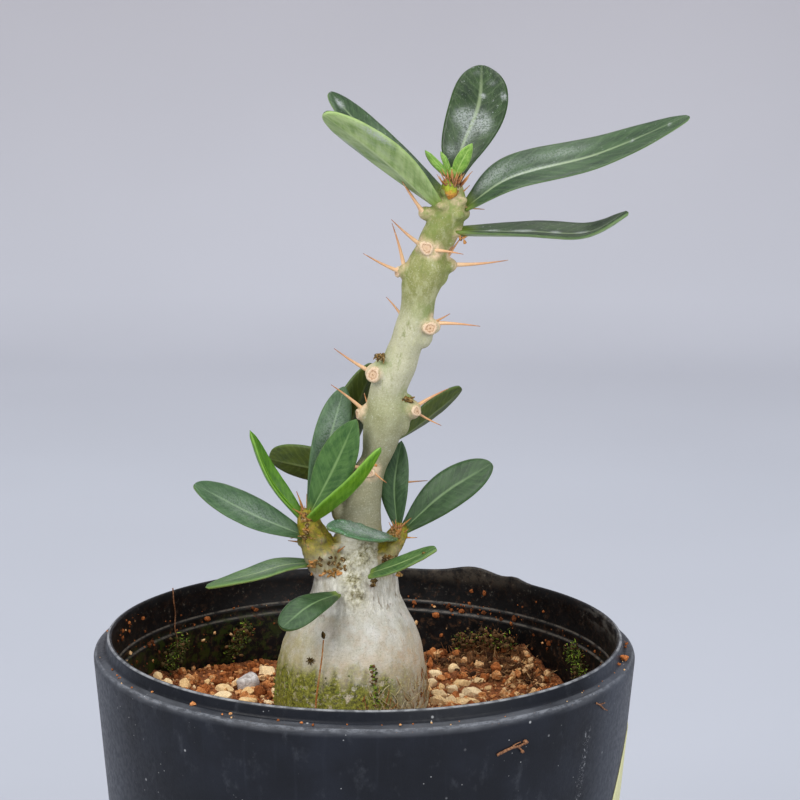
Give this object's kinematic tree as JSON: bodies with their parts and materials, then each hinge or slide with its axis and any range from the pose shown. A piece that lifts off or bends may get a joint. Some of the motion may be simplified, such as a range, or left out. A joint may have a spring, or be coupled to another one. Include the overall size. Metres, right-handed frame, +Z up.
{
  "type": "potted caudex plant",
  "caption": "Spiny caudex plant with a swollen base, a tall knobbly trunk and narrow dark green leaves, growing in gritty soil in a round black plastic nursery pot.",
  "frame": {"origin": "centre of the pot's flat underside", "axes": "+Z up, -Y towards the side of the pot that faces the viewer, +X to the viewer's right, the way the trunk leans"},
  "size_m": [0.0963, 0.0902, 0.1716],
  "materials": {
    "pot_plastic": "satin",
    "soil_mix": "matte",
    "bark": "matte",
    "leaf": "satin",
    "young_leaf": "satin",
    "pale_leaf": "satin",
    "grey_stone": "matte",
    "cream_pumice": "matte",
    "moss": "matte",
    "straw": "matte",
    "label_paper": "matte"
  },
  "bodies": {
    "root": {"pot": "pot_plastic", "soil": "soil_mix", "stem": "bark", "crown_bud": "young_leaf", "leaf_top_centre": "leaf", "leaf_top_right": "leaf", "leaf_top_right_low": "leaf", "leaf_top_left": "pale_leaf", "leaf_top_left_back": "leaf", "leaf_left_long": "leaf", "leaf_left_young": "young_leaf", "leaf_left_front": "young_leaf", "leaf_left_upright": "leaf", "leaf_left_tall": "leaf", "leaf_left_behind": "leaf", "leaf_left_back": "leaf", "leaf_left_low": "leaf", "leaf_caudex": "leaf", "leaf_right_upright": "leaf", "leaf_right_long": "leaf", "leaf_right_front": "leaf", "leaf_right_low": "pale_leaf", "leaf_back_right": "leaf", "stone_grey": "grey_stone", "grain_cream_a": "cream_pumice", "grain_cream_b": "cream_pumice", "grain_cream_c": "cream_pumice", "grain_cream_d": "cream_pumice", "grain_cream_e": "cream_pumice", "grain_cream_f": "cream_pumice", "grain_cream_g": "cream_pumice", "grain_cream_h": "cream_pumice", "grain_cream_i": "cream_pumice", "moss_back": "moss", "moss_right": "moss", "moss_left": "moss", "moss_left_back": "moss", "straw": "straw", "label": "label_paper"}
  },
  "joints": []
}
